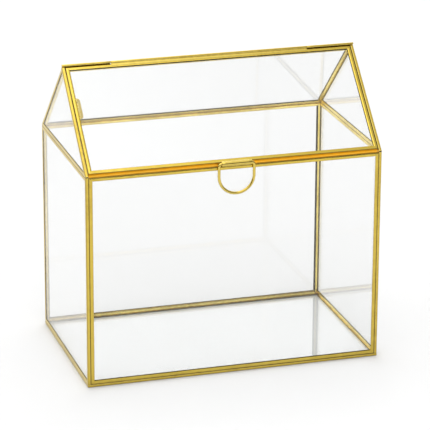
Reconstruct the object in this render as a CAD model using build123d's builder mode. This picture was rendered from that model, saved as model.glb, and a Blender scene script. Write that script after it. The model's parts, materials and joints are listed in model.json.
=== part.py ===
"""Wedding card box: a house of glass panes in folded brass channel, with a ridge-hinged lid and a D-ring."""
import os
from math import atan, cos, degrees, sin

from build123d import *

# ---- driving dimensions, millimetres ------------------------------------------------
WIDTH = 250.0            # along the ridge, X
DEPTH = 150.0            # front to back, Y
WALL_TOP = 179.5         # top of the walls
APEX = 250.8             # line where the two roof slopes meet
GABLE_NOSE = 1.3         # blunt end of a gable above the wall top

GLASS = 2.0              # pane thickness
SHEET = 0.25             # brass sheet the channel is folded from
FACE = 3.1               # width of the channel's flanges on the glass
PANEL = GLASS + 2 * SHEET
FOLD = 0.2               # outer radius of the channel's two folds

MOVING_GAP = 0.35        # between the lid and what stays still
TUBE_R = 1.0             # ridge hinge tube
BORE_R = 0.6
PIN_R = 0.55
TUBE_LIFT = 1.0          # tube axis above the apex line
LEAF = 0.45              # thickness of a knuckle's soldered leaf
LEAF_REACH = 2.0         # how far the leaf laps down the roof strip
PIN_RECESS = 0.2         # pin end inside the tube's end
MIDDLE_KNUCKLE = 168.0   # length of the lid's knuckle
KNUCKLE_GAP = 0.3

RING_WIRE_R = 1.2
SLEEVE_R = 2.2
SLEEVE_BORE_R = 1.28
SLEEVE_LENGTH = 25.5
RING_SPAN = 29.6         # between the wire axes of the ring's two sides
RING_DROP = 25.4         # sleeve axis to the wire axis at the ring's lowest point
RING_BEND = 2.6          # wire bend at each end of the sleeve
RING_CLEARANCE = 0.35    # from the front wall to the hanging ring
SLEEVE_DROP = 0.35       # sleeve axis below the lid's lower outer edge
BRIDGE_THICK = 0.85      # solder bridge between the lid and the sleeve
BRIDGE_PROUD = 0.3       # how far it stands above the lid's outer face
BRIDGE_SETBACK = 0.75    # from each end of the sleeve

STOP_HALF_LENGTH = 122.3  # folded strip behind the front wall's top edge, under the lid
STOP_THICK = 0.4
STOP_LOW = 176.8         # lower edge of its upright leg
STOP_GAP = 0.3           # under the closed lid
STOP_LAP = 2.6           # how far its sloping leg reaches under the lid's lower strip

REST_FROM_RIDGE = 28.8   # upper end of the lid rest, measured down the slope
REST_LENGTH = 19.6
REST_REACH = 7.3         # how far it stands in from the gable
REST_THICK = 0.8
REST_END_R = 3.0         # rounding of its two inner corners
BUTTON_R = 1.5
BUTTON_HEIGHT = 0.5
BUTTON_EDGE = 0.4        # rounding of the button's head
SHANK_R = 0.75           # the button's shank, riveted through the rest

# ---- worked out from them -----------------------------------------------------------
HALF_W = WIDTH / 2
HALF_D = DEPTH / 2
INNER_HALF_W = HALF_W - PANEL
EAVE = WALL_TOP + GABLE_NOSE
SLOPE = atan((APEX - EAVE) / HALF_D)
HINGE_Z = APEX + TUBE_LIFT

LID_TOP = 0.4                                   # slope distances from the apex line
LID_BOTTOM = 100.5
ROOF_TOP = 2.9
ROOF_BOTTOM = (APEX - WALL_TOP - PANEL * cos(SLOPE)) / sin(SLOPE)

FRONT_PLANE = Plane(origin=(0, -HALF_D, 0), x_dir=(-1, 0, 0), z_dir=(0, 1, 0))
BACK_PLANE = Plane(origin=(0, HALF_D, 0), x_dir=(1, 0, 0), z_dir=(0, -1, 0))
LEFT_PLANE = Plane(origin=(-HALF_W, 0, 0), x_dir=(0, 1, 0), z_dir=(1, 0, 0))
RIGHT_PLANE = Plane(origin=(HALF_W, 0, 0), x_dir=(0, -1, 0), z_dir=(-1, 0, 0))
# On the two slopes local x runs along the ridge, local y down the slope, z into the box.
LID_PLANE = Plane(origin=(0, 0, APEX), x_dir=(1, 0, 0), z_dir=(0, sin(SLOPE), -cos(SLOPE)))
ROOF_PLANE = Plane(origin=(0, 0, APEX), x_dir=(-1, 0, 0), z_dir=(0, -sin(SLOPE), -cos(SLOPE)))

os.makedirs("parts", exist_ok=True)


def save(piece, label):
    """Label a finished piece and write it as its own node."""
    piece.part.label = label
    export_step(piece.part, f"parts/{label}.step")


# ---- framed panes -------------------------------------------------------------------
def rectangle(half_width, low, high):
    """Corners of a rectangle centred on local x, anticlockwise from its lower left."""
    return [(-half_width, low), (half_width, low), (half_width, high), (-half_width, high)]


def inset(corners, distance):
    """The corners of a convex outline moved in so that every edge shifts by the distance."""
    moved = []
    for index, corner in enumerate(corners):
        here = Vector(*corner)
        arriving = (here - Vector(*corners[index - 1])).normalized()
        leaving = (Vector(*corners[(index + 1) % len(corners)]) - here).normalized()
        inward = Vector(-arriving.Y - leaving.Y, arriving.X + leaving.X)
        point = here + inward * (distance / (1 + arriving.dot(leaving)))
        moved.append((point.X, point.Y))
    return moved


def framed_pane(name, plane, corners, sides, trim=None):
    """One pane and the mitred channel strips round it; the plane lies on the outer face."""
    flange_line = inset(corners, FACE)
    pane_line = inset(corners, SHEET)
    for index, side in enumerate(sides):
        after = (index + 1) % len(corners)
        with BuildPart() as strip:
            with BuildSketch(plane):
                Polygon(corners[index], corners[after], flange_line[after], flange_line[index], align=None)
            extrude(amount=PANEL)
            outer_length = (Vector(*corners[after]) - Vector(*corners[index])).length
            folds = strip.edges().filter_by(lambda edge: edge.length > outer_length - 0.01)
            fillet(folds, FOLD)
            with BuildSketch(plane.offset(SHEET)):
                Polygon(*pane_line, align=None)
            extrude(amount=GLASS, mode=Mode.SUBTRACT)
            if trim:
                with BuildSketch(plane):
                    Polygon(*trim, align=None)
                extrude(amount=PANEL, mode=Mode.INTERSECT)
        save(strip, f"{name}_{side}_strip")
    with BuildPart() as pane:
        with BuildSketch(plane.offset(SHEET)):
            Polygon(*pane_line, align=None)
        extrude(amount=GLASS)
        if trim:
            with BuildSketch(plane):
                Polygon(*inset(trim, SHEET), align=None)
            extrude(amount=PANEL, mode=Mode.INTERSECT)
    save(pane, f"{name}_glass")


framed_pane("floor", Plane.XY, rectangle(HALF_W, -HALF_D, HALF_D), ["front", "right", "back", "left"])
framed_pane("front", FRONT_PLANE, rectangle(INNER_HALF_W, PANEL, WALL_TOP), ["bottom", "left", "top", "right"])
framed_pane("back", BACK_PLANE, rectangle(INNER_HALF_W, PANEL, WALL_TOP), ["bottom", "right", "top", "left"])
framed_pane("left", LEFT_PLANE, rectangle(HALF_D, PANEL, WALL_TOP), ["bottom", "back", "top", "front"])
framed_pane("right", RIGHT_PLANE, rectangle(HALF_D, PANEL, WALL_TOP), ["bottom", "front", "top", "back"])

# A gable is a triangle whose sharp lower tips are cut off flush with the walls below.
tip = (APEX - WALL_TOP) * HALF_D / (APEX - EAVE)
gable = [(-tip, WALL_TOP), (tip, WALL_TOP), (0, APEX)]
gable_trim = [(-HALF_D, WALL_TOP), (HALF_D, WALL_TOP), (HALF_D, EAVE), (0, APEX), (-HALF_D, EAVE)]
framed_pane("left_gable", LEFT_PLANE, gable, ["bottom", "back", "front"], gable_trim)
framed_pane("right_gable", RIGHT_PLANE, gable, ["bottom", "front", "back"], gable_trim)

roof = rectangle(INNER_HALF_W, ROOF_TOP, ROOF_BOTTOM)
framed_pane("back_roof", ROOF_PLANE, roof, ["top", "left", "bottom", "right"])
lid = rectangle(INNER_HALF_W - MOVING_GAP, LID_TOP, LID_BOTTOM)
framed_pane("lid", LID_PLANE, lid, ["top", "right", "bottom", "left"])


# ---- ridge hinge --------------------------------------------------------------------
def knuckle(label, plane, start, end, leaf_end):
    """A length of tube on the hinge line with a leaf that lies on one roof slope."""
    with BuildPart() as piece:
        with BuildSketch(Plane.YZ.offset(start)):
            with Locations((0, HINGE_Z)):
                Circle(TUBE_R)
        extrude(amount=end - start)
        middle = (start + end) / 2 * plane.x_dir.X
        with BuildSketch(plane):
            with Locations((middle, leaf_end / 2 - TUBE_R / 4)):
                Rectangle(end - start, leaf_end + TUBE_R / 2)
        extrude(amount=-LEAF)
        with BuildSketch(Plane.YZ.offset(start)):
            with Locations((0, HINGE_Z)):
                Circle(BORE_R)
        extrude(amount=end - start, mode=Mode.SUBTRACT)
    save(piece, label)


half_middle = MIDDLE_KNUCKLE / 2
knuckle("lid_knuckle", LID_PLANE, -half_middle, half_middle, LID_TOP + LEAF_REACH)
knuckle("left_knuckle", ROOF_PLANE, -HALF_W, -half_middle - KNUCKLE_GAP, ROOF_TOP + LEAF_REACH)
knuckle("right_knuckle", ROOF_PLANE, half_middle + KNUCKLE_GAP, HALF_W, ROOF_TOP + LEAF_REACH)

with BuildPart() as hinge_pin:
    with BuildSketch(Plane.YZ.offset(-HALF_W + PIN_RECESS)):
        with Locations((0, HINGE_Z)):
            Circle(PIN_R)
    extrude(amount=WIDTH - 2 * PIN_RECESS)
save(hinge_pin, "hinge_pin")

# ---- lid stop on the front wall -----------------------------------------------------
def below_lid(depth, y=None):
    """Y and Z of a point at a depth under the lid's outer face, at a Y or where the strip ends."""
    down = LID_BOTTOM - STOP_LAP if y is None else (depth * sin(SLOPE) - y) / cos(SLOPE)
    return depth * sin(SLOPE) - down * cos(SLOPE), APEX - down * sin(SLOPE) - depth * cos(SLOPE)


stop_outer, stop_inner = PANEL - HALF_D, PANEL - HALF_D + STOP_THICK
stop_top = PANEL + STOP_GAP
with BuildPart() as lid_stop:
    with BuildSketch(Plane.YZ):
        Polygon(
            (stop_outer, STOP_LOW),
            (stop_inner, STOP_LOW),
            below_lid(stop_top + STOP_THICK, stop_inner),
            below_lid(stop_top + STOP_THICK),
            below_lid(stop_top),
            below_lid(stop_top, stop_outer),
            align=None,
        )
    extrude(amount=STOP_HALF_LENGTH, both=True)
save(lid_stop, "lid_stop")

# ---- lid rest on the left gable -----------------------------------------------------
rest_plane = LID_PLANE.offset(PANEL + MOVING_GAP + BUTTON_HEIGHT)
rest_x = -INNER_HALF_W + REST_REACH / 2
button_x = -INNER_HALF_W + REST_REACH - REST_END_R
button_y = REST_FROM_RIDGE + REST_END_R

with BuildPart() as lid_rest:
    with BuildSketch(rest_plane):
        with Locations((rest_x, REST_FROM_RIDGE + REST_LENGTH / 2)):
            Rectangle(REST_REACH, REST_LENGTH)
    extrude(amount=REST_THICK)
    inner_side = lid_rest.edges().filter_by(Axis(origin=(0, 0, 0), direction=rest_plane.z_dir))
    fillet(inner_side.group_by(Axis.X)[-1], REST_END_R)
    with BuildSketch(rest_plane):
        with Locations((button_x, button_y)):
            Circle(SHANK_R)
    extrude(amount=REST_THICK, mode=Mode.SUBTRACT)
save(lid_rest, "lid_rest")

with BuildPart() as rest_button:
    with BuildSketch(rest_plane):
        with Locations((button_x, button_y)):
            Circle(BUTTON_R)
    extrude(amount=-BUTTON_HEIGHT)
    outward = Axis(origin=(0, 0, 0), direction=-rest_plane.z_dir)
    fillet(rest_button.edges().sort_by(outward)[-1], BUTTON_EDGE)
    with BuildSketch(rest_plane):
        with Locations((button_x, button_y)):
            Circle(SHANK_R)
    extrude(amount=REST_THICK)
save(rest_button, "rest_button")

# ---- pull ring ----------------------------------------------------------------------
RING_Y = -HALF_D - RING_CLEARANCE - RING_WIRE_R
lid_corner = LID_PLANE.from_local_coords(Vector(0, LID_BOTTOM, 0))
RING_Z = lid_corner.Z - SLEEVE_DROP
ring_axis = LID_PLANE.to_local_coords(Vector(0, RING_Y, RING_Z))

with BuildPart() as ring_sleeve:
    with BuildSketch(Plane.YZ.offset(-SLEEVE_LENGTH / 2)):
        with Locations((RING_Y, RING_Z)):
            Circle(SLEEVE_R)
    extrude(amount=SLEEVE_LENGTH)
    with BuildSketch(LID_PLANE.offset(-BRIDGE_PROUD)):
        with Locations((0, (LID_BOTTOM + ring_axis.Y) / 2)):
            Rectangle(SLEEVE_LENGTH - 2 * BRIDGE_SETBACK, ring_axis.Y - LID_BOTTOM)
    extrude(amount=BRIDGE_THICK)
    with BuildSketch(Plane.YZ.offset(-SLEEVE_LENGTH / 2)):
        with Locations((RING_Y, RING_Z)):
            Circle(SLEEVE_BORE_R)
    extrude(amount=SLEEVE_LENGTH, mode=Mode.SUBTRACT)
save(ring_sleeve, "ring_sleeve")

half_span = RING_SPAN / 2
side_drop = RING_DROP - half_span
with BuildPart() as pull_ring:
    with BuildLine(Plane(origin=(0, RING_Y, RING_Z), x_dir=(1, 0, 0), z_dir=(0, -1, 0))) as right_half:
        bar = Line((0, 0), (half_span - RING_BEND, 0))
        bend = RadiusArc(bar @ 1, (half_span, -RING_BEND), RING_BEND)
        side = Line(bend @ 1, (half_span, -side_drop))
        RadiusArc(side @ 1, (0, -RING_DROP), half_span)
    with BuildSketch(Plane.YZ):
        with Locations((RING_Y, RING_Z)):
            Circle(RING_WIRE_R)
    sweep(path=right_half.wire())
    mirror(about=Plane.YZ)
save(pull_ring, "pull_ring")

print(f"roof slope {degrees(SLOPE):.2f} degrees, hinge axis at Z {HINGE_Z:.2f}")
print(f"ring axis at Y {RING_Y:.2f}, Z {RING_Z:.2f}; back roof ends {ROOF_BOTTOM:.2f} down the slope")
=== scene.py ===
"""Wedding card box: glass panes in folded brass channel, a ridge-hinged lid and a D-ring."""

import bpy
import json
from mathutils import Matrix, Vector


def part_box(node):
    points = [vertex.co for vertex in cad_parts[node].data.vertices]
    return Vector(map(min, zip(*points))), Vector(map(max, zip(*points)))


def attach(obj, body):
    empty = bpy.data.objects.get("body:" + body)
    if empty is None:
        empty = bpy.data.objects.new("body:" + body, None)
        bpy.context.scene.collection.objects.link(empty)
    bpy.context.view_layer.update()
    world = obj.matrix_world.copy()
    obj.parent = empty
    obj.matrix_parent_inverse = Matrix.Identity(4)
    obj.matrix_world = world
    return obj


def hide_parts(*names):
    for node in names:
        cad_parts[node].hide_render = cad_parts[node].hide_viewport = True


bl_info = {
    "name": "Glass Card Box",
    "version": (1, 0, 0),
    "blender": (4, 5, 0),
    "location": "View3D > Sidebar > Card Box",
    "description": "Builds a house-shaped glass card box in brass channel round its packed frame",
    "category": "Add Mesh",
}

import json
import math

import bpy
import numpy as np
from bpy.props import FloatProperty, FloatVectorProperty, PointerProperty
from mathutils import Matrix

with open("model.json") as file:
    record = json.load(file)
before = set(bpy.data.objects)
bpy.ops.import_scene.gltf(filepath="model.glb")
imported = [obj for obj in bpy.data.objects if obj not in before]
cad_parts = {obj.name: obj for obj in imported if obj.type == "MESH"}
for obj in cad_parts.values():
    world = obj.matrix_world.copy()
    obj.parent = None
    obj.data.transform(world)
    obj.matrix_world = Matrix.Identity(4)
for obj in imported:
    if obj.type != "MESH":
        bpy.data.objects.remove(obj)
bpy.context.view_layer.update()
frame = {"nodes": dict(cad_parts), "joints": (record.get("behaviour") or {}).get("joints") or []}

MM = 0.001
RUN_MAP = "run"


# ---- where things are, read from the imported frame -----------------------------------
def joint_place(name):
    """The point that a joint's axis goes through, as an array in metres."""
    joint = next(j for j in frame["joints"] if j["name"] == name)
    return np.array(joint["pos_m"], float)


def high(node, axis):
    """The highest coordinate of a node along one axis."""
    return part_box(node)[1][axis]


HALF_W = high("floor_front_strip", 0)
HALF_D = high("left_bottom_strip", 1)
PANEL = high("floor_front_strip", 2)
FACE = high("left_bottom_strip", 2) - PANEL
WALL_TOP = high("left_top_strip", 2)
APEX = high("left_gable_front_strip", 2)
INNER_HALF_W = high("front_bottom_strip", 0)
LID_HALF_W = high("lid_bottom_strip", 0)
HINGE = joint_place("lid_hinge")
RING = joint_place("ring_hinge")

# The lid's lower outer corner lies on the slope through the apex line. The box's lowest
# point is the inner corner, a panel's thickness further in, so the slope is found in rounds.
LID_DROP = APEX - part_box("lid_bottom_strip")[0].z
LID_LOW_OUT = -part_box("lid_bottom_strip")[0].y
SLOPE = math.pi / 4
for _ in range(20):
    SLOPE = math.atan2(LID_DROP - PANEL * math.cos(SLOPE), LID_LOW_OUT)
COS, SIN = math.cos(SLOPE), math.sin(SLOPE)
LID_BOTTOM = LID_LOW_OUT / COS
LID_TOP = (APEX - high("lid_top_strip", 2)) / SIN
ROOF_TOP = (APEX - high("back_roof_top_strip", 2)) / SIN
ROOF_BOTTOM = high("back_roof_bottom_strip", 1) / COS

# ---- sizes finer than the frame's boxes ---------------------------------------------
STRIP_STEP = 2.5 * MM        # length of a strip between two rows of points, about
EDGE_ROUND = 0.92            # share of the thickness's square lost at a free edge

KNUCKLE_BORE = 0.6 * MM
KNUCKLE_LIP = 0.12 * MM      # rounding of a knuckle's ends
LEAF_START = 0.1 * MM        # inside the knuckle's wall, clear of its bore
LEAF_LAP = 2.0 * MM          # how far a leaf laps down its strip
LEAF_RISE = 0.42 * MM
LEAF_FILLET = 0.3 * MM       # extra height of the solder beside the tube
FILLET_REACH = 0.6 * MM
LEAF_EDGE = 0.25 * MM
LEAF_SETBACK = 0.1 * MM      # from each end of the knuckle
LEAF_SINK = 0.02 * MM        # into the strip under it
PIN_DOME = 0.2 * MM

SLEEVE_BORE = 1.28 * MM
SLEEVE_LIP = 0.25 * MM
RING_BEND = 2.6 * MM
BRIDGE_LAP = 1.3 * MM        # of the solder bridge onto the lid's lower strip
BRIDGE_CLEAR = 1.5 * MM      # from the sleeve's axis to the bridge's end, in the sleeve's wall
BRIDGE_SETBACK = 0.6 * MM    # from each end of the sleeve
BRIDGE_RISE = 0.12 * MM      # of its upper face above the strip
BRIDGE_FOOT = 0.3 * MM       # depth of its lower face in the strip
BRIDGE_OVER = 0.9 * MM       # from the sleeve's axis up to its upper face, at its end
BRIDGE_UNDER = 1.0 * MM      # from the sleeve's axis down to its lower face, at its end

STOP_THICK = 0.36 * MM
STOP_FOLD = 0.6 * MM
STOP_EDGE = 0.2 * MM

REST_ROUND = 3.0 * MM
REST_THICK = 0.8 * MM
REST_EDGE = 0.16 * MM
STUD_HEIGHT = 0.5 * MM
STUD_SINK = 0.1 * MM         # how far the stud's shank shows below the rest

# ---- the camera, in metres ----------------------------------------------------------
CAMERA_PLACE = (-0.6083, -2.0107, 0.8395)
CAMERA_AHEAD = (0.2758, 0.9038, -0.3272)
CAMERA_RIGHT = (0.9569, -0.2904, 0.0046)


# ---- numpy surfaces -----------------------------------------------------------------
def arc_path(start, heading, pieces, distance):
    """Points and headings at distances along a path of straight runs and arcs.

    Each piece is (length, turn). A straight run adds its heading times the distance
    gone; an arc of radius length/turn adds radius times (sin a, 1 - cos a), turned to
    the heading it starts with, where a is the angle gone.
    """
    points = np.tile(np.asarray(start, float), (len(distance), 1))
    angle = np.full(len(distance), float(heading))
    gone, facing = 0.0, float(heading)
    for length, turn in pieces:
        part = np.clip(distance - gone, 0, length)
        if turn:
            radius = length / turn
            ahead, aside = radius * np.sin(part / radius), radius * (1 - np.cos(part / radius))
        else:
            ahead, aside = part, np.zeros_like(part)
        points[:, 0] += ahead * math.cos(facing) - aside * math.sin(facing)
        points[:, 1] += ahead * math.sin(facing) + aside * math.cos(facing)
        angle += turn * part / length
        gone, facing = gone + length, facing + turn
    return points, angle


def stations(lengths, steps):
    """Distances along a path, each piece of it cut into its own number of equal steps."""
    ends = np.concatenate([[0.0], np.cumsum(lengths)])
    cuts = [np.linspace(a, b, n, endpoint=False) for a, b, n in zip(ends[:-1], ends[1:], steps)]
    return np.concatenate(cuts + [ends[-1:]])


def ring_faces(rows, columns, first=0, wrap_rows=False):
    """Quads of a grid whose columns close into a ring; its rows may close as well."""
    r = np.arange(rows if wrap_rows else rows - 1)[:, None]
    c = np.arange(columns)[None, :]
    r1, c1 = (r + 1) % rows, (c + 1) % columns
    quads = np.stack([r * columns + c, r * columns + c1, r1 * columns + c1, r1 * columns + c], -1)
    return quads.reshape(-1, 4) + first


def outward(points, faces):
    """The faces turned so that the shell's signed volume, the sum of its pyramids, is positive."""
    a, b, c = (points[faces[:, i]] for i in (0, 1, 2))
    d = points[faces[:, -1]]
    middle = points.mean(0)
    volume = np.einsum("ij,ij->i", a - middle, np.cross(b - middle, c - middle)).sum()
    volume += np.einsum("ij,ij->i", a - middle, np.cross(c - middle, d - middle)).sum()
    return faces if volume > 0 else faces[:, ::-1]


class Shells:
    """Closed shells gathered into one mesh, with a map of how far each point is along and across."""

    def __init__(self):
        self.points, self.faces, self.runs, self.count = [], [], [], 0

    def add(self, points, faces, runs):
        """One shell: its points, its faces in groups of one length each, and its two map values."""
        points = points.reshape(-1, 3)
        body = outward(points, faces[0])
        turned = body is not faces[0]
        for group in [body] + [f[:, ::-1] if turned else f for f in faces[1:]]:
            self.faces.append(group + self.count)
        self.points.append(points)
        self.runs.append(np.broadcast_to(runs, (len(points), 2)))
        self.count += len(points)

    def build(self, name, body, replaced, material, sharp=35.0):
        """The mesh object, smooth but for its sharp edges, riding on its body."""
        points, runs = np.concatenate(self.points), np.concatenate(self.runs)
        sizes = np.concatenate([np.full(len(f), f.shape[1]) for f in self.faces])
        corners = np.concatenate([f.ravel() for f in self.faces])
        mesh = bpy.data.meshes.new(name)
        mesh.vertices.add(len(points))
        mesh.vertices.foreach_set("co", points.astype(np.float32).ravel())
        mesh.loops.add(len(corners))
        mesh.loops.foreach_set("vertex_index", corners.astype(np.int32))
        mesh.polygons.add(len(sizes))
        starts = np.concatenate([[0], np.cumsum(sizes)[:-1]])
        mesh.polygons.foreach_set("loop_start", starts.astype(np.int32))
        mesh.polygons.foreach_set("loop_total", sizes.astype(np.int32))
        mesh.update(calc_edges=True)
        mesh.polygons.foreach_set("use_smooth", np.ones(len(sizes), bool))
        layer = mesh.uv_layers.new(name=RUN_MAP)
        layer.data.foreach_set("uv", runs[corners].astype(np.float32).ravel())
        mesh.set_sharp_from_angle(angle=math.radians(sharp))
        if mesh.validate():
            raise RuntimeError(f"{name} has faces that aren't valid")
        mesh.materials.append(material)
        piece = bpy.data.objects.new(name, mesh)
        bpy.context.scene.collection.objects.link(piece)
        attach(piece, body)
        if replaced:
            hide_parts(*replaced)
        return piece


def two_sided(shells, outer, inner, place, span, steps, drift=None):
    """A folded sheet's section carried along a straight run.

    The section is two rows of points, one on each face of the sheet. Each point runs from
    its own start to its own end, so that the ends lie on mitre planes: at share s it is
    at (1 - s) * start + s * end. The ends are closed between the two rows.
    """
    loop = np.concatenate([outer, inner[::-1]])
    share = np.linspace(0, 1, steps)[:, None]
    begin, end = span(loop)
    along = begin[None, :] * (1 - share) + end[None, :] * share
    across = np.broadcast_to(loop[None, :, 0], along.shape)
    depth = np.broadcast_to(loop[None, :, 1], along.shape)
    if drift is not None:
        across, depth = drift(along, across, depth)
    points = place(along, across, depth)
    sides = ring_faces(steps, len(loop))
    i = np.arange(len(outer) - 1)
    cap = np.stack([i, len(loop) - 1 - i, len(loop) - 2 - i, i + 1], -1)
    girth = np.concatenate([[0], np.cumsum(np.linalg.norm(np.diff(loop, axis=0), axis=1))])
    runs = np.stack([along, np.broadcast_to(girth[None, :], along.shape)], -1).reshape(-1, 2)
    last = (steps - 1) * len(loop)
    shells.add(points, [np.concatenate([sides, cap, cap[:, ::-1] + last])], runs)


def revolved(shells, axis_point, axial, radial, around, closed=True, axis=(1, 0, 0)):
    """A section turned round an axis: point + axial * axis + radial * (cos t, sin t) across it."""
    axis = np.asarray(axis, float)
    first = np.cross(axis, (0, 0, 1) if abs(axis[2]) < 0.9 else (1, 0, 0))
    first /= np.linalg.norm(first)
    second = np.cross(axis, first)
    turn = np.linspace(0, 2 * np.pi, around, endpoint=False)
    spoke = np.cos(turn)[:, None] * first + np.sin(turn)[:, None] * second
    points = axis_point + axial[:, None, None] * axis + radial[:, None, None] * spoke[None]
    run = np.stack(np.broadcast_arrays(axial[:, None], radial.max() * turn[None, :]), -1)
    faces = [ring_faces(len(axial), around, wrap_rows=closed)]
    if not closed:
        rim = np.arange(around)
        faces += [rim[None, ::-1], rim[None, :] + (len(axial) - 1) * around]
    shells.add(points, faces, run.reshape(-1, 2))


# ---- panes' frames ------------------------------------------------------------------
def channel_section(look, inner_face=None):
    """Both faces of the folded channel: its centreline is flange, fold, web, fold, flange.

    The sheet's half thickness follows a quarter ellipse at each free edge, and each
    flange is crowned outwards by half a sine wave between its fold and its free edge.
    """
    half, radius = look.sheet / 2, look.fold - look.sheet / 2
    flat, bend, web = FACE - look.fold, radius * math.pi / 2, PANEL - 2 * look.fold
    inner_flat = (inner_face or FACE) - look.fold
    edge = look.sheet * 0.8
    lengths = [edge, flat - edge, bend, web, bend, inner_flat - edge, edge]
    q = stations(lengths, [4, 8, 7, 6, 7, 8, 4])
    turns = [0, 0, -math.pi / 2, 0, -math.pi / 2, 0, 0]
    centre, heading = arc_path((FACE, half), math.pi, list(zip(lengths, turns)), q)
    normal = np.stack([-np.sin(heading), np.cos(heading)], -1)
    near = np.minimum(q, q[-1] - q)
    thick = half * np.sqrt(1 - EDGE_ROUND * (1 - np.clip(near / edge, 0, 1)) ** 2)
    width = np.where(q < flat + bend + web / 2, flat, inner_flat)
    crown = look.crown * np.sin(np.pi * np.clip(near / width, 0, 1))
    middle = centre + normal * crown[:, None]
    return middle + normal * thick[:, None], middle - normal * thick[:, None]


def local_place(origin, x_axis, y_axis, inward):
    """A function that puts local (x, y, depth) arrays into the frame."""
    axes = [np.asarray(v, float) for v in (x_axis, y_axis, inward)]

    def place(x, y, depth):
        return origin + x[..., None] * axes[0] + y[..., None] * axes[1] + depth[..., None] * axes[2]

    return place


PANELS = {
    "floor": ((0, 0, 0), (1, 0, 0), (0, 1, 0), (0, 0, 1)),
    "front": ((0, -HALF_D, 0), (-1, 0, 0), (0, 0, 1), (0, 1, 0)),
    "back": ((0, HALF_D, 0), (1, 0, 0), (0, 0, 1), (0, -1, 0)),
    "left": ((-HALF_W, 0, 0), (0, 1, 0), (0, 0, 1), (1, 0, 0)),
    "right": ((HALF_W, 0, 0), (0, -1, 0), (0, 0, 1), (-1, 0, 0)),
    "back_roof": ((0, 0, APEX), (-1, 0, 0), (0, COS, -SIN), (0, -SIN, -COS)),
    "lid": ((0, 0, APEX), (1, 0, 0), (0, -COS, -SIN), (0, SIN, -COS)),
}
PANELS["left_gable"], PANELS["right_gable"] = PANELS["left"], PANELS["right"]


def rectangle(half_width, low, top):
    """Corners of a rectangle centred on local x, anticlockwise from its lower left."""
    return [(-half_width, low), (half_width, low), (half_width, top), (-half_width, top)]


def frame_shells(shells, panel, corners, look, trim=None):
    """The mitred strips round one pane, whose outline is given by its corners."""
    panel_place = local_place(np.array(PANELS[panel][0], float), *PANELS[panel][1:])
    corners = np.array(corners, float)
    for index, start in enumerate(corners):
        stop = corners[(index + 1) % len(corners)]
        before, after = corners[index - 1], corners[(index + 2) % len(corners)]
        length = np.linalg.norm(stop - start)
        ahead = (stop - start) / length
        aside = np.array([-ahead[1], ahead[0]])
        seed = 1.7 * index + 3.1 * len(panel)
        upright = trim is None and panel in ("front", "back", "left", "right") and abs(ahead[1]) > 0.5
        outer, inner = channel_section(look, look.upright_face if upright else None)

        def slant(point, other, way):
            """How far a mitre moves the end for each unit across."""
            leg = (other - point) / np.linalg.norm(other - point)
            cosine = float(np.dot(way, leg))
            return math.sqrt((1 + cosine) / (1 - cosine))

        first, second = slant(start, before, ahead), slant(stop, after, -ahead)

        def span(loop):
            begin = loop[:, 0] * first + look.mitre_gap / 2
            end = length - loop[:, 0] * second - look.mitre_gap / 2
            if trim is not None and abs(ahead[0]) > 1e-6:
                walls = np.array([-trim, trim])[:, None]
                sides = (walls - start[0] - loop[:, 0] * aside[0]) / ahead[0]
                begin = np.maximum(begin, sides.min(0))
                end = np.minimum(end, sides.max(0))
            return begin, end

        def drift(along, across, depth):
            """The sheet wanders by a sum of two sines along the run."""
            phase = along / look.ripple
            wave = np.sin(phase + seed) + 0.5 * np.sin(phase * 2.3 + 2 * seed)
            return across, depth + look.wander * wave * np.clip(across / FACE, 0, 1)

        def place(along, across, depth):
            x = start[0] + along * ahead[0] + across * aside[0]
            y = start[1] + along * ahead[1] + across * aside[1]
            return panel_place(x, y, depth)

        two_sided(shells, outer, inner, place, span, max(12, int(length / STRIP_STEP)), drift)


def strips(panel, sides):
    """The CAD nodes of one pane's strips."""
    return [f"{panel}_{side}_strip" for side in sides]


# ---- materials ----------------------------------------------------------------------
def new_material(name):
    """An empty material with its output, and its node tree."""
    material = bpy.data.materials.new(name)
    material.use_nodes = True
    material.node_tree.nodes.clear()
    return material, material.node_tree


def add_node(tree, kind, inputs=None, **settings):
    """A node with its settings and its input values, which may be sockets to link."""
    node = tree.nodes.new(kind)
    for key, value in settings.items():
        setattr(node, key, value)
    for key, value in (inputs or {}).items():
        if isinstance(value, bpy.types.NodeSocket):
            tree.links.new(value, node.inputs[key])
        else:
            node.inputs[key].default_value = value
    return node


# Where the inside's painted light begins, and where it is full, across the channel's section.
INSIDE_LIGHT_FROM = FACE + PANEL - 0.9 * MM
INSIDE_LIGHT_FULL = FACE + PANEL - 0.4 * MM
# Colour of the painted shade at the folds and free edges.
FOLD_SHADE_TONE = (0.1, 0.075, 0.025, 1)
# Painted shade at the folds and at the outer flange's free edge: distances in millimetres across the
# channel's section, and how dark the painted shade is there.
FOLD_SHADE_SPAN = 8.4 * MM
FOLD_SHADE_STOPS = (
    (0.12, 1), (0.3, 0),
    (2.6, 0), (2.8, 1), (3.15, 1), (3.35, 0),
    (4.95, 0), (5.1, 1), (5.45, 1), (5.65, 0),
    (7.9, 0),
)


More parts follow.
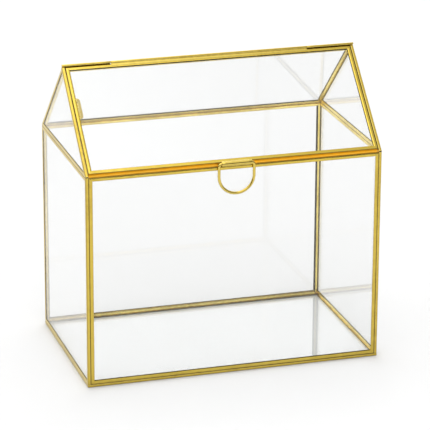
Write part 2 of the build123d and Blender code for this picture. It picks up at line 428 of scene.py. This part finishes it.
def metal_wear_and_light_group():
    """Tone drift, finger smudges and fine lines of a handled metal sheet.

    Colour drifts between a clean and a dulled tone by broad and middle noise, the clean
    tone giving way to a brighter inside tone past a distance across the section, which is
    painted light, and it darkens in narrow bands of painted shade at the folds and free edges.
    Roughness rises with the smudges, and height is a fine noise added to one drawn out along the run.
    """
    name = "metal life"
    if name in bpy.data.node_groups:
        return bpy.data.node_groups[name]
    group = bpy.data.node_groups.new(name, "ShaderNodeTree")
    face = group.interface
    for label, kind, value in (
        ("Place", "NodeSocketVector", None),
        ("Run", "NodeSocketVector", None),
        ("Clean", "NodeSocketColor", (0.85, 0.6, 0.17, 1)),
        ("Inside", "NodeSocketColor", (0.85, 0.6, 0.17, 1)),
        ("Dulled", "NodeSocketColor", (0.6, 0.4, 0.1, 1)),
        ("Smooth", "NodeSocketFloat", 0.12),
        ("Dull", "NodeSocketFloat", 0.3),
        ("Smudge", "NodeSocketFloat", 0.5),
        ("Seams", "NodeSocketFloat", 0.8),
    ):
        socket = face.new_socket(name=label, in_out="INPUT", socket_type=kind)
        if value is not None:
            socket.default_value = value
    for label, kind in (
        ("Colour", "NodeSocketColor"),
        ("Roughness", "NodeSocketFloat"),
        ("Height", "NodeSocketFloat"),
    ):
        face.new_socket(name=label, in_out="OUTPUT", socket_type=kind)
    given = group.nodes.new("NodeGroupInput").outputs
    broad = add_node(
        group, "ShaderNodeTexNoise", {"Vector": given["Place"], "Scale": 22.0, "Detail": 2.0}
    )
    middle = add_node(
        group,
        "ShaderNodeTexNoise",
        {"Vector": given["Place"], "Scale": 260.0, "Detail": 4.0, "Roughness": 0.6},
    )
    fine = add_node(
        group, "ShaderNodeTexNoise", {"Vector": given["Place"], "Scale": 2600.0, "Detail": 3.0}
    )
    drawn = add_node(
        group,
        "ShaderNodeMapping",
        {"Vector": given["Run"], "Scale": (60.0, 5200.0, 1.0)},
        vector_type="POINT",
    )
    lines = add_node(
        group, "ShaderNodeTexNoise", {"Vector": drawn.outputs["Vector"], "Scale": 1.0, "Detail": 3.0}
    )
    both = add_node(
        group,
        "ShaderNodeMath",
        {0: broad.outputs["Fac"], 1: middle.outputs["Fac"]},
        operation="MULTIPLY",
    )
    patches = add_node(
        group, "ShaderNodeMapRange", {"Value": both.outputs[0], "From Min": 0.17, "From Max": 0.36}
    )
    share = add_node(
        group, "ShaderNodeMath", {0: patches.outputs["Result"], 1: given["Smudge"]}, operation="MULTIPLY"
    )
    girth = add_node(group, "ShaderNodeSeparateXYZ", {"Vector": given["Run"]}).outputs["Y"]
    # Painted light: the inner flange takes a brighter tone than the outer one.
    inside_light_mask = add_node(
        group,
        "ShaderNodeMapRange",
        {"Value": girth, "From Min": INSIDE_LIGHT_FROM, "From Max": INSIDE_LIGHT_FULL},
    )
    clean = add_node(
        group,
        "ShaderNodeMix",
        {"Factor": inside_light_mask.outputs["Result"], "A": given["Clean"], "B": given["Inside"]},
        data_type="RGBA",
    )
    tone = add_node(
        group,
        "ShaderNodeMix",
        {"Factor": share.outputs[0], "A": clean.outputs["Result"], "B": given["Dulled"]},
        data_type="RGBA",
    )
    # Painted shade: dark bands at the folds and the free edge, across the section.
    girth_share = add_node(group, "ShaderNodeMath", {0: girth, 1: FOLD_SHADE_SPAN}, operation="DIVIDE")
    fold_shade = add_node(group, "ShaderNodeValToRGB", {"Fac": girth_share.outputs[0]})
    stops = fold_shade.color_ramp.elements
    stops[0].position, stops[0].color = 0.0, (1, 1, 1, 1)
    stops[1].position, stops[1].color = 1.0, (1, 1, 1, 1)
    for place, shade in FOLD_SHADE_STOPS:
        stops.new(place * MM / FOLD_SHADE_SPAN).color = (shade, shade, shade, 1)
    fold_shade_share = add_node(
        group, "ShaderNodeMath", {0: fold_shade.outputs["Color"], 1: given["Seams"]}, operation="MULTIPLY"
    )
    tone = add_node(
        group,
        "ShaderNodeMix",
        {"Factor": fold_shade_share.outputs[0], "A": tone.outputs["Result"], "B": FOLD_SHADE_TONE},
        data_type="RGBA",
    )
    speck = add_node(
        group, "ShaderNodeMapRange", {"Value": fine.outputs["Fac"], "From Min": 0.35, "From Max": 0.75}
    )
    wet = add_node(
        group,
        "ShaderNodeMath",
        {0: speck.outputs["Result"], 1: 0.35, 2: patches.outputs["Result"]},
        operation="MULTIPLY_ADD",
    )
    rough = add_node(
        group,
        "ShaderNodeMapRange",
        {"Value": wet.outputs[0], "From Max": 1.35, "To Min": given["Smooth"], "To Max": given["Dull"]},
    )
    height = add_node(
        group,
        "ShaderNodeMath",
        {0: lines.outputs["Fac"], 1: 0.6, 2: fine.outputs["Fac"]},
        operation="MULTIPLY_ADD",
    )
    result = group.nodes.new("NodeGroupOutput").inputs
    group.links.new(tone.outputs["Result"], result["Colour"])
    group.links.new(rough.outputs["Result"], result["Roughness"])
    group.links.new(height.outputs[0], result["Height"])
    return group


def metal_material(
    name, clean, inside, dulled, smooth, dull, smudge, bump, metallic=1.0, fold_shade=0.0
):
    """A metal finish that takes its colour, painted light and shade included, and its roughness and
    height from the shared group.
    """
    if name in bpy.data.materials:
        return bpy.data.materials[name]
    material, tree = new_material(name)
    place = add_node(tree, "ShaderNodeTexCoord").outputs["Object"]
    run = add_node(tree, "ShaderNodeUVMap", uv_map=RUN_MAP).outputs["UV"]
    life = add_node(tree, "ShaderNodeGroup", node_tree=metal_wear_and_light_group())
    tree.links.new(place, life.inputs["Place"])
    tree.links.new(run, life.inputs["Run"])
    life.inputs["Clean"].default_value = (*clean, 1)
    life.inputs["Inside"].default_value = (*inside, 1)
    life.inputs["Dulled"].default_value = (*dulled, 1)
    life.inputs["Smooth"].default_value = smooth
    life.inputs["Dull"].default_value = dull
    life.inputs["Smudge"].default_value = smudge
    life.inputs["Seams"].default_value = fold_shade
    relief = add_node(
        tree,
        "ShaderNodeBump",
        {"Strength": bump, "Distance": 0.02 * MM, "Height": life.outputs["Height"]},
    )
    shader = add_node(
        tree,
        "ShaderNodeBsdfPrincipled",
        {
            "Base Color": life.outputs["Colour"],
            "Roughness": life.outputs["Roughness"],
            "Metallic": metallic,
            "Normal": relief.outputs["Normal"],
        },
    )
    out = add_node(tree, "ShaderNodeOutputMaterial")
    tree.links.new(shader.outputs["BSDF"], out.inputs["Surface"])
    return material


def brass():
    """The channel's polished brass, with painted light on its inner flanges and painted shade at its
    folds.
    """
    look = bpy.context.scene.card_box.finish
    tones = (look.brass, look.brass_inside_lit, look.brass_dulled)
    return metal_material("polished_brass", *tones, 0.09, 0.24, 0.55, 0.25, fold_shade=0.65)


def stop_brass():
    """The lid stop's deep orange, mostly a non-metal: a painted reflection of brass in brass."""
    look = bpy.context.scene.card_box.finish
    tones = (look.stop, look.stop, look.brass)
    return metal_material("rubbed_brass", *tones, 0.3, 0.45, 0.2, 0.25, metallic=0.1)


def ring_brass():
    """The brighter brass of the ring, its sleeve, the ridge hinge and the lid rest."""
    look = bpy.context.scene.card_box.finish
    tones = (look.ring, look.ring, look.brass_dulled)
    return metal_material("ring_brass", *tones, 0.1, 0.26, 0.5, 0.15)


def glass_material():
    """Clear glass that lets shadow rays and diffuse rays straight through."""
    name = "clear_glass"
    if name in bpy.data.materials:
        return bpy.data.materials[name]
    look = bpy.context.scene.card_box.finish
    material, tree = new_material(name)
    place = add_node(tree, "ShaderNodeTexCoord").outputs["Object"]
    film = add_node(tree, "ShaderNodeTexNoise", {"Vector": place, "Scale": 35.0, "Detail": 3.0})
    rough = add_node(
        tree,
        "ShaderNodeMapRange",
        {"Value": film.outputs["Fac"], "From Min": 0.45, "From Max": 0.8, "To Min": 0.0, "To Max": 0.03},
    )
    shader = add_node(
        tree,
        "ShaderNodeBsdfPrincipled",
        {
            "Base Color": (*look.glass, 1),
            "Roughness": rough.outputs["Result"],
            "Metallic": 0.0,
            "Transmission Weight": 1.0,
            "IOR": 1.45,
        },
    )
    clear = add_node(tree, "ShaderNodeBsdfTransparent", {"Color": (*look.glass, 1)})
    path = add_node(tree, "ShaderNodeLightPath")
    soft = add_node(
        tree,
        "ShaderNodeMath",
        {0: path.outputs["Is Shadow Ray"], 1: path.outputs["Is Diffuse Ray"]},
        operation="MAXIMUM",
    )
    mix = add_node(tree, "ShaderNodeMixShader", {0: soft.outputs[0]})
    tree.links.new(shader.outputs["BSDF"], mix.inputs[1])
    tree.links.new(clear.outputs["BSDF"], mix.inputs[2])
    out = add_node(tree, "ShaderNodeOutputMaterial")
    tree.links.new(mix.outputs[0], out.inputs["Surface"])
    return material


# ---- settings -----------------------------------------------------------------------
class CardBoxShape(bpy.types.PropertyGroup):
    """Sizes of what is finer than the frame."""

    sheet: FloatProperty(
        name="Sheet", description="Thickness of the brass sheet", default=0.21 * MM, unit="LENGTH"
    )
    fold: FloatProperty(
        name="Fold", description="Outer radius of the channel's folds", default=0.5 * MM, unit="LENGTH"
    )
    crown: FloatProperty(
        name="Crown", description="How far a flange bulges outwards", default=0.16 * MM, unit="LENGTH"
    )
    upright_face: FloatProperty(
        name="Upright flange",
        description="Inner flange of the walls' upright strips",
        default=1.9 * MM,
        unit="LENGTH",
    )
    mitre_gap: FloatProperty(
        name="Mitre gap", description="Open seam between two strips", default=0.06 * MM, unit="LENGTH"
    )
    wander: FloatProperty(
        name="Wander",
        description="Height of the waves left by folding by hand",
        default=0.015 * MM,
        unit="LENGTH",
    )
    ripple: FloatProperty(
        name="Ripple", description="Length of those waves over two pi", default=6 * MM, unit="LENGTH"
    )


class CardBoxFinish(bpy.types.PropertyGroup):
    """Colours."""

    brass: FloatVectorProperty(
        name="Brass",
        description="Polished brass",
        subtype="COLOR",
        default=(0.65, 0.48, 0.085),
        min=0,
        max=1,
    )
    # Painted light: the inner flanges are given a brighter brass than the outer ones.
    brass_inside_lit: FloatVectorProperty(
        name="Lit inner brass",
        description="Brass of the flanges inside the box",
        subtype="COLOR",
        default=(0.96, 0.77, 0.24),
        min=0,
        max=1,
    )
    brass_dulled: FloatVectorProperty(
        name="Dulled brass",
        description="Handled brass",
        subtype="COLOR",
        default=(0.47, 0.335, 0.06),
        min=0,
        max=1,
    )
    ring: FloatVectorProperty(
        name="Ring",
        description="The ring's brass",
        subtype="COLOR",
        default=(0.68, 0.52, 0.12),
        min=0,
        max=1,
    )
    # Painted reflection: the lid stop's deep orange stands for brass reflected in brass.
    stop: FloatVectorProperty(
        name="Lid stop",
        description="Rubbed brass of the lid stop",
        subtype="COLOR",
        default=(1.0, 0.5, 0.02),
        min=0,
        max=1,
    )
    glass: FloatVectorProperty(
        name="Glass",
        description="Tint of the panes",
        subtype="COLOR",
        default=(0.962, 0.965, 0.9645),
        min=0,
        max=1,
    )


class CardBoxStage(bpy.types.PropertyGroup):
    """Floor, light and camera."""

    floor: FloatVectorProperty(
        name="Floor",
        description="Floor colour",
        subtype="COLOR",
        default=(0.61, 0.61, 0.61),
        min=0,
        max=1,
    )
    sky: FloatProperty(
        name="Surroundings", description="Brightness of the surroundings", default=1.0, min=0
    )
    back_power: FloatProperty(
        name="Back light", description="Power of the softbox behind", default=15.0, unit="POWER"
    )
    front_power: FloatProperty(
        name="Front light", description="Power of the low softbox in front", default=26.0, unit="POWER"
    )
    lens: FloatProperty(name="Lens", description="Focal length in millimetres", default=221.7, min=1)


class CardBoxSettings(bpy.types.PropertyGroup):
    """Everything that a user would change."""

    shape: PointerProperty(type=CardBoxShape)
    finish: PointerProperty(type=CardBoxFinish)
    stage: PointerProperty(type=CardBoxStage)


# ---- operators ----------------------------------------------------------------------
class CARDBOX_OT_walls(bpy.types.Operator):
    """Brass channel round the floor pane and the four walls"""

    bl_idname = "cardbox.walls"
    bl_label = "Wall frames"

    def execute(self, context):
        look = context.scene.card_box.shape
        outlines = {
            "floor": (rectangle(HALF_W, -HALF_D, HALF_D), ("front", "right", "back", "left")),
            "front": (rectangle(INNER_HALF_W, PANEL, WALL_TOP), ("bottom", "left", "top", "right")),
            "back": (rectangle(INNER_HALF_W, PANEL, WALL_TOP), ("bottom", "right", "top", "left")),
            "left": (rectangle(HALF_D, PANEL, WALL_TOP), ("bottom", "back", "top", "front")),
            "right": (rectangle(HALF_D, PANEL, WALL_TOP), ("bottom", "front", "top", "back")),
        }
        for panel, (corners, sides) in outlines.items():
            shells = Shells()
            frame_shells(shells, panel, corners, look)
            shells.build(f"{panel}_frame", "box", strips(panel, sides), brass())
        return {"FINISHED"}


class CARDBOX_OT_roof(bpy.types.Operator):
    """Brass channel round the two gables and the back roof pane"""

    bl_idname = "cardbox.roof"
    bl_label = "Gable and roof frames"

    def execute(self, context):
        look = context.scene.card_box.shape
        tip = (APEX - WALL_TOP) * COS / SIN
        gable = [(-tip, WALL_TOP), (tip, WALL_TOP), (0, APEX)]
        for panel, sides in (
            ("left_gable", ("bottom", "back", "front")),
            ("right_gable", ("bottom", "front", "back")),
        ):
            shells = Shells()
            frame_shells(shells, panel, gable, look, trim=HALF_D)
            shells.build(f"{panel}_frame", "box", strips(panel, sides), brass())
        shells = Shells()
        frame_shells(shells, "back_roof", rectangle(INNER_HALF_W, ROOF_TOP, ROOF_BOTTOM), look)
        replaced = strips("back_roof", ("top", "left", "bottom", "right"))
        shells.build("back_roof_frame", "box", replaced, brass())
        return {"FINISHED"}


class CARDBOX_OT_lid(bpy.types.Operator):
    """Brass channel round the lid's pane"""

    bl_idname = "cardbox.lid"
    bl_label = "Lid frame"

    def execute(self, context):
        shells = Shells()
        outline = rectangle(LID_HALF_W, LID_TOP, LID_BOTTOM)
        frame_shells(shells, "lid", outline, context.scene.card_box.shape)
        replaced = strips("lid", ("top", "right", "bottom", "left"))
        shells.build("lid_frame", "lid", replaced, brass())
        return {"FINISHED"}


class CARDBOX_OT_stop(bpy.types.Operator):
    """Folded strip behind the front wall's top edge, whose sloping leg lies under the lid"""

    bl_idname = "cardbox.stop"
    bl_label = "Lid stop"

    def execute(self, context):
        look = context.scene.card_box.shape
        low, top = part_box("lid_stop")
        thick, fold, edge = STOP_THICK, STOP_FOLD, STOP_EDGE
        turn = math.pi / 2 - SLOPE
        # The legs' lengths follow from the box: the fold takes up part of its width and height.
        leg = (top.y - low.y - thick / 2 - fold * (1 - math.cos(turn)) - thick / 2 * SIN) / COS
        upright = top.z - low.z - thick / 2 * COS - fold * math.sin(turn) - leg * SIN
        lengths = [edge, upright - edge, fold * turn, leg - edge, edge]
        q = stations(lengths, [4, 6, 7, 8, 5])
        centre, heading = arc_path(
            (low.y + thick / 2, low.z), math.pi / 2, list(zip(lengths, [0, 0, -turn, 0, 0])), q
        )
        normal = np.stack([-np.sin(heading), np.cos(heading)], -1)
        near = np.clip(np.minimum(q, q[-1] - q) / edge, 0, 1)
        half = (thick / 2 * np.sqrt(1 - EDGE_ROUND * (1 - near) ** 2))[:, None]

        def span(loop):
            return np.full(len(loop), low.x), np.full(len(loop), top.x)

        def drift(along, across, depth):
            """The strip wanders up and down by a sum of two sines along the run."""
            phase = along / look.ripple
            wave = np.sin(phase) + 0.5 * np.sin(phase * 2.3 + 1.0)
            return across, depth + look.wander * wave

        def place(along, across, depth):
            return np.stack([along, across, depth], -1)

        shells = Shells()
        two_sided(shells, centre + normal * half, centre - normal * half, place, span, 95, drift)
        shells.build("stop_strip", "box", ["lid_stop"], stop_brass())
        return {"FINISHED"}


class CARDBOX_OT_panes(bpy.types.Operator):
    """Clear glass on the nine panes"""

    bl_idname = "cardbox.panes"
    bl_label = "Panes"

    def execute(self, context):
        for name, node in frame["nodes"].items():
            if name.endswith("_glass"):
                node.data.materials.clear()
                node.data.materials.append(glass_material())
        return {"FINISHED"}


def tube_section(half_length, outer, bore, lip):
    """Distances along and out from a tube's axis, round its wall, with rounded lips.

    The wall's section is a rectangle whose corners are quarter circles of radius lip.
    """
    wall = outer - bore - 2 * lip
    quarter = lip * math.pi / 2
    lengths = [2 * (half_length - lip), quarter, wall, quarter] * 2
    q = stations(lengths, [8, 4, 2, 4] * 2)[:-1]
    turns = [0, -math.pi / 2] * 4
    points, _ = arc_path((lip - half_length, outer), 0.0, list(zip(lengths, turns)), q)
    return points[:, 0], points[:, 1]


def knuckle(name, body, node, panel, start, stop, leaf_end):
    """A length of tube with a leaf whose height falls from the tube to the end on its strip."""
    shells = Shells()
    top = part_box(node)[1]
    tube_r = top.z - HINGE[2]
    axial, radial = tube_section((stop - start) / 2, tube_r, KNUCKLE_BORE, KNUCKLE_LIP)
    centre = np.array([(start + stop) / 2, HINGE[1], HINGE[2]])
    revolved(shells, centre, axial, radial, 40)
    s = np.linspace(LEAF_START, leaf_end, 24)
    rise = LEAF_RISE + LEAF_FILLET * np.exp(-((s / FILLET_REACH) ** 2))
    rise *= np.sqrt(1 - 0.9 * np.clip((s - leaf_end + LEAF_EDGE) / LEAF_EDGE, 0, 1) ** 2)
    outer = np.stack([s, -rise], -1)
    inner = np.stack([s, np.full_like(s, LEAF_SINK)], -1)
    panel_place = local_place(np.array(PANELS[panel][0], float), *PANELS[panel][1:])
    sign = PANELS[panel][1][0]

    def place(along, across, depth):
        return panel_place(sign * along, across, depth)

    def span(loop):
        first, last = start + LEAF_SETBACK, stop - LEAF_SETBACK
        return np.full(len(loop), first), np.full(len(loop), last)

    two_sided(shells, outer, inner, place, span, 60)
    return shells.build(name, body, [node], ring_brass())


class CARDBOX_OT_hinge(bpy.types.Operator):
    """Ridge tube in three knuckles, and its pin"""

    bl_idname = "cardbox.hinge"
    bl_label = "Ridge hinge"

    def execute(self, context):
        for name, body, panel, top in (
            ("left_knuckle", "box", "back_roof", ROOF_TOP),
            ("lid_knuckle", "lid", "lid", LID_TOP),
            ("right_knuckle", "box", "back_roof", ROOF_TOP),
        ):
            low, high_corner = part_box(name)
            knuckle(f"{name}_tube", body, name, panel, low.x, high_corner.x, top + LEAF_LAP)
        shells = Shells()
        low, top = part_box("hinge_pin")
        radius = (top.z - low.z) / 2
        share = np.linspace(0, 1, 8)
        dome = PIN_DOME * (1 - np.cos(share * math.pi / 2))
        axial = np.concatenate([low.x + dome, top.x - dome[::-1]])
        swell = radius * np.sin(np.clip(share, 0.05, 1) * math.pi / 2)
        radial = np.concatenate([swell, swell[::-1]])
        revolved(shells, np.array([0, HINGE[1], HINGE[2]]), axial, radial, 24, closed=False)
        shells.build("hinge_rod", "box", ["hinge_pin"], ring_brass())
        return {"FINISHED"}


class CARDBOX_OT_ring(bpy.types.Operator):
    """D-shaped wire ring in its sleeve on the lid's lower edge"""

    bl_idname = "cardbox.ring"
    bl_label = "Pull ring"

    def execute(self, context):
        low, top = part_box("pull_ring")
        wire = (top.y - low.y) / 2
        half_span = (top.x - low.x) / 2 - wire
        drop = RING[2] - low.z - wire
        bend = RING_BEND
        side = drop - half_span - bend
        quarter, bow = bend * math.pi / 2, half_span * math.pi
        lengths = [half_span - bend, quarter, side, bow, side, quarter, half_span - bend]
        turns = [0, -math.pi / 2, 0, -math.pi, 0, -math.pi / 2, 0]
        q = stations(lengths, [8, 12, 8, 72, 8, 12, 8])[:-1]
        path, heading = arc_path((0, 0), 0.0, list(zip(lengths, turns)), q)
        turn = np.linspace(0, 2 * np.pi, 28, endpoint=False)
        spread = np.cos(turn)[None, :] * wire
        points = np.empty((len(q), len(turn), 3))
        points[..., 0] = RING[0] + path[:, 0, None] - np.sin(heading)[:, None] * spread
        points[..., 1] = RING[1] + np.sin(turn)[None, :] * wire
        points[..., 2] = RING[2] + path[:, 1, None] + np.cos(heading)[:, None] * spread
        run = np.stack(np.broadcast_arrays(q[:, None], turn[None, :] * wire), -1).reshape(-1, 2)
        shells = Shells()
        shells.add(points, [ring_faces(len(q), len(turn), wrap_rows=True)], run)
        shells.build("d_ring", "ring", ["pull_ring"], ring_brass())

        low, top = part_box("ring_sleeve")
        sleeve_r = top.z - RING[2]
        shells = Shells()
        half_length = (top.x - low.x) / 2
        axial, radial = tube_section(half_length, sleeve_r, SLEEVE_BORE, SLEEVE_LIP)
        revolved(shells, RING, axial, radial, 56)
        solder_bridge(shells, half_length - BRIDGE_SETBACK)
        shells.build("ring_tube", "lid", ["ring_sleeve"], ring_brass())
        return {"FINISHED"}


def solder_bridge(shells, half_length):
    """Solder between the lid's lower edge and the sleeve.

    Its section is a wedge that thickens towards the tube, each face following a power of
    the distance. It ends inside the tube's wall, clear of the bore that holds the wire.
    """
    panel_place = local_place(np.array(PANELS["lid"][0], float), *PANELS["lid"][1:])
    below = RING - np.array(PANELS["lid"][0])
    across_ring = float(below @ np.array(PANELS["lid"][2]))
    depth_ring = float(below @ np.array(PANELS["lid"][3]))
    s = np.linspace(0, 1, 20)
    first, last = LID_BOTTOM - BRIDGE_LAP, across_ring - BRIDGE_CLEAR
    along_slope = first + (last - first) * s
    upper = -BRIDGE_RISE + (depth_ring - BRIDGE_OVER + BRIDGE_RISE) * s ** 2.2
    lower = BRIDGE_FOOT + (depth_ring + BRIDGE_UNDER - BRIDGE_FOOT) * s ** 1.4
    outer = np.stack([along_slope, upper], -1)
    inner = np.stack([along_slope, lower], -1)

    def span(loop):
        reach = half_length * (0.94 + 0.06 * np.clip((loop[:, 0] - first) / (last - first), 0, 1))
        return -reach, reach

    two_sided(shells, outer, inner, panel_place, span, 40)


class CARDBOX_OT_rest(bpy.types.Operator):
    """Small plate under the lid on the left gable, with its button"""

    bl_idname = "cardbox.rest"
    bl_label = "Lid rest"

    def execute(self, context):
        panel_place = local_place(np.array(PANELS["lid"][0], float), *PANELS["lid"][1:])
        low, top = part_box("lid_rest")
        button_low, button_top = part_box("rest_button")
        reach, round_r, thick = top.x - low.x, REST_ROUND, REST_THICK
        # The plate's length, its upper end and its depth, from its box on the slope.
        length = (top.z - low.z - thick * COS) / SIN
        upper_end = (APEX - top.z) * SIN - top.y * COS
        depth = (APEX - top.z) * COS + top.y * SIN
        straight = length - 2 * round_r
        quarter = round_r * math.pi / 2
        lengths = [reach - round_r, quarter, straight, quarter, reach - round_r]
        turns = [0, math.pi / 2, 0, math.pi / 2, 0]
        q = stations(lengths, [4, 10, 8, 10, 4])
        outline, heading = arc_path((low.x, upper_end), 0.0, list(zip(lengths, turns)), q)
        normal = np.stack([np.sin(heading), -np.cos(heading)], -1)
        edge = REST_EDGE
        turn = np.linspace(0, math.pi / 2, 5)
        pull = np.concatenate([edge * (1 - np.sin(turn)), edge * (1 - np.cos(turn))])
        down = np.concatenate([edge * (1 - np.cos(turn)), thick - edge * (1 - np.sin(turn))])
        ring = outline[None] - normal[None] * pull[:, None, None]
        points = panel_place(
            ring[..., 0], ring[..., 1], np.broadcast_to((depth + down)[:, None], ring.shape[:2])
        )
        shells = Shells()
        rim = np.arange(len(q))
        run_map = np.stack(np.broadcast_arrays(q[None, :], down[:, None]), -1).reshape(-1, 2)
        lower_rim = rim[None, :] + (len(pull) - 1) * len(q)
        faces = [ring_faces(len(pull), len(q)), rim[None, ::-1], lower_rim]
        shells.add(points, faces, run_map)
        shells.build("rest_plate", "box", ["lid_rest"], ring_brass())

        shells = Shells()
        radius = (button_top.x - button_low.x) / 2
        centre_y = upper_end + round_r
        t = np.linspace(0.06, math.pi / 2, 12)
        radial = np.concatenate([radius * np.sin(t), [radius * 0.5, radius * 0.5]])
        level = np.concatenate([-STUD_HEIGHT * np.cos(t), [0.0, thick + STUD_SINK]])
        axis = np.array(PANELS["lid"][3], float)
        base = panel_place(
            np.array([low.x + reach - round_r]), np.array([centre_y]), np.array([depth])
        )[0]
        revolved(shells, base, level, radial, 32, closed=False, axis=axis)
        shells.build("rest_stud", "box", ["rest_button"], ring_brass())
        return {"FINISHED"}


class CARDBOX_OT_stage(bpy.types.Operator):
    """Pale floor, soft studio light and the camera"""

    bl_idname = "cardbox.stage"
    bl_label = "Stage"

    def execute(self, context):
        look = context.scene.card_box.stage
        scene = context.scene
        scene.view_settings.view_transform = "Standard"

        material, tree = new_material("pale_floor")
        shader = add_node(
            tree,
            "ShaderNodeBsdfPrincipled",
            {"Base Color": (*look.floor, 1), "Roughness": 0.9, "Specular IOR Level": 0.2},
        )
        out = add_node(tree, "ShaderNodeOutputMaterial")
        tree.links.new(shader.outputs["BSDF"], out.inputs["Surface"])
        mesh = bpy.data.meshes.new("floor")
        half, level = 8.0, -0.1 * MM
        mesh.from_pydata(
            [(-half, -half, level), (half, -half, level), (half, half, level), (-half, half, level)],
            [],
            [(0, 1, 2, 3)],
        )
        mesh.materials.append(material)
        floor = bpy.data.objects.new("stage_floor", mesh)
        scene.collection.objects.link(floor)

        world = bpy.data.worlds.new("studio")
        scene.world = world
        world.use_nodes = True
        tree = world.node_tree
        tree.nodes.clear()
        way = add_node(tree, "ShaderNodeTexCoord").outputs["Generated"]
        parts = add_node(tree, "ShaderNodeSeparateXYZ", {"Vector": way})
        # A bright backdrop behind the box, a brighter ceiling that falls off to the right,
        # and a dark room in front, which gives the brass its dark lines.
        behind = add_node(
            tree,
            "ShaderNodeMapRange",
            {
                "Value": parts.outputs["Y"],
                "From Min": -0.2,
                "From Max": 0.35,
                "To Min": 0.14,
                "To Max": 1.55,
            },
            interpolation_type="SMOOTHSTEP",
        )
        ceiling = add_node(
            tree,
            "ShaderNodeMapRange",
            {
                "Value": parts.outputs["X"],
                "From Min": 0.19,
                "From Max": 0.33,
                "To Min": 2.0,
                "To Max": 0.85,
            },
            interpolation_type="SMOOTHSTEP",
        )
        above = add_node(
            tree,
            "ShaderNodeMapRange",
            {"Value": parts.outputs["Z"], "From Min": 0.15, "From Max": 0.85, "To Min": 0.0},
            interpolation_type="SMOOTHSTEP",
        )
        tree.links.new(ceiling.outputs["Result"], above.inputs["To Max"])
        brighter = add_node(
            tree,
            "ShaderNodeMath",
            {0: behind.outputs["Result"], 1: above.outputs["Result"]},
            operation="MAXIMUM",
        )
        light = add_node(
            tree, "ShaderNodeMath", {0: brighter.outputs[0], 1: look.sky}, operation="MULTIPLY"
        )
        back = add_node(
            tree, "ShaderNodeBackground", {"Color": (1, 1, 1, 1), "Strength": light.outputs[0]}
        )
        out = add_node(tree, "ShaderNodeOutputWorld")
        tree.links.new(back.outputs[0], out.inputs["Surface"])

        def softbox(name, place, aim, size, power):
            lamp = bpy.data.lights.new(name, "AREA")
            lamp.shape = "RECTANGLE"
            lamp.size, lamp.size_y = size
            lamp.energy = power
            holder = bpy.data.objects.new(name, lamp)
            away = np.array(place, float) - np.array(aim, float)
            holder.matrix_world = looking(place, -away)
            holder.visible_glossy = False
            holder.visible_transmission = False
            scene.collection.objects.link(holder)

        softbox("back_softbox", (0.3, 1.5, 2.2), (0.0, 0.0, 0.1), (1.6, 1.6), look.back_power)
        softbox("front_softbox", (-0.2, -2.0, 0.45), (0.0, -0.07, 0.18), (0.8, 0.5), look.front_power)

        camera = bpy.data.cameras.new("camera")
        camera.lens, camera.sensor_width = look.lens, 36.0
        camera.clip_start, camera.clip_end = 0.1, 50.0
        holder = bpy.data.objects.new("camera", camera)
        holder.matrix_world = looking(CAMERA_PLACE, CAMERA_AHEAD, CAMERA_RIGHT)
        scene.collection.objects.link(holder)
        scene.camera = holder
        return {"FINISHED"}


def looking(place, forward, right=None):
    """The matrix of a camera or light at a place that looks along forward."""
    forward = np.asarray(forward, float) / np.linalg.norm(forward)
    if right is None:
        right = np.cross(forward, (0, 0, 1))
    right = np.asarray(right, float) - forward * np.dot(right, forward)
    right /= np.linalg.norm(right)
    up = np.cross(right, forward)
    matrix = np.eye(4)
    matrix[:3, 0], matrix[:3, 1], matrix[:3, 2], matrix[:3, 3] = right, up, -forward, place
    return Matrix(matrix.tolist())


class CARDBOX_PT_panel(bpy.types.Panel):
    """Sizes, colours and steps of the card box"""

    bl_idname = "CARDBOX_PT_panel"
    bl_label = "Card Box"
    bl_space_type = "VIEW_3D"
    bl_region_type = "UI"
    bl_category = "Card Box"

    def draw(self, context):
        settings = context.scene.card_box
        for group in (settings.shape, settings.finish, settings.stage):
            box = self.layout.box()
            for key in group.bl_rna.properties.keys():
                if key not in ("rna_type", "name"):
                    box.prop(group, key)
        for operator in OPERATORS:
            self.layout.operator(operator.bl_idname)


OPERATORS = (
    CARDBOX_OT_stage,
    CARDBOX_OT_walls,
    CARDBOX_OT_roof,
    CARDBOX_OT_lid,
    CARDBOX_OT_stop,
    CARDBOX_OT_panes,
    CARDBOX_OT_hinge,
    CARDBOX_OT_ring,
    CARDBOX_OT_rest,
)
CLASSES = (CardBoxShape, CardBoxFinish, CardBoxStage, CardBoxSettings, *OPERATORS, CARDBOX_PT_panel)


def register():
    for cls in CLASSES:
        bpy.utils.register_class(cls)
    bpy.types.Scene.card_box = PointerProperty(type=CardBoxSettings)


def unregister():
    del bpy.types.Scene.card_box
    for cls in reversed(CLASSES):
        bpy.utils.unregister_class(cls)


def main():
    register()
    for operator in OPERATORS:
        module, name = operator.bl_idname.split(".")
        getattr(getattr(bpy.ops, module), name)()
    bpy.context.view_layer.update()


if __name__ == "__main__":
    main()
